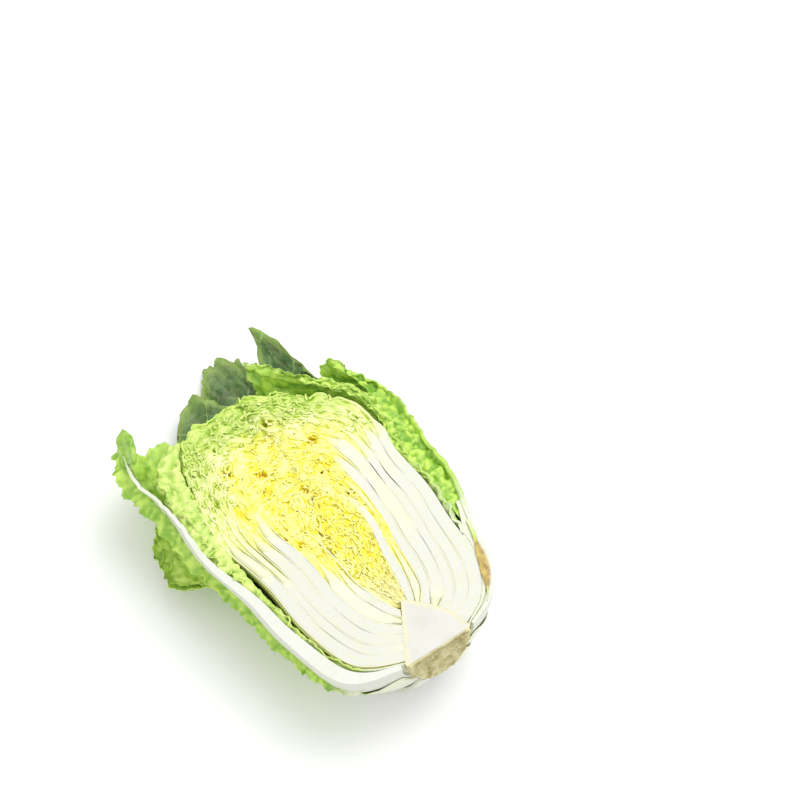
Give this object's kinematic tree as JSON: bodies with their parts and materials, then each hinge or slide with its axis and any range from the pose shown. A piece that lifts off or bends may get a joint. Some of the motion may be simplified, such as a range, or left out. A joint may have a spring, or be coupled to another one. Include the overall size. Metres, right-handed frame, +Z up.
{
  "type": "half napa cabbage",
  "caption": "Half of a napa cabbage cut lengthwise through the stem: nested crinkled leaves with white ribs, a yellow heart and loose green outer leaves, lying with its cut face up.",
  "frame": {"origin": "on the surface it lies on, under the middle of its bounding box", "axes": "+Y from the stem to the leaf tips, +Z up and out of the cut face, +X to the right seen from the stem end with the cut face up"},
  "size_m": [0.2088, 0.3448, 0.083],
  "materials": {
    "stem_flesh": "moist, slightly translucent off-white flesh",
    "heart_leaf": "crisp yellow leaf, satin",
    "head_leaf": "white rib and pale yellow-green blade, satin",
    "light_leaf": "light green crinkled blade, satin",
    "green_leaf": "bright green crinkled blade with white rib, satin",
    "dark_leaf": "dark green blistered blade with white rib, satin"
  },
  "bodies": {
    "root": {"stem": "stem_flesh", "heart": "heart_leaf", "head_leaf_01": "head_leaf", "head_leaf_02": "head_leaf", "head_leaf_03": "head_leaf", "head_leaf_04": "head_leaf", "head_leaf_05": "head_leaf", "head_leaf_06": "head_leaf", "head_leaf_07": "head_leaf", "head_leaf_08": "head_leaf", "head_leaf_09": "head_leaf", "head_leaf_10": "head_leaf", "head_leaf_11": "head_leaf", "head_leaf_12": "head_leaf", "head_leaf_13": "head_leaf", "head_leaf_14": "head_leaf", "outer_leaf_left_frilled": "light_leaf", "outer_leaf_right_rimmed": "green_leaf", "outer_leaf_left_loose": "green_leaf", "outer_leaf_right_spread": "green_leaf", "outer_leaf_under_left": "dark_leaf", "outer_leaf_under_right": "dark_leaf", "outer_leaf_underneath": "dark_leaf"}
  },
  "joints": []
}
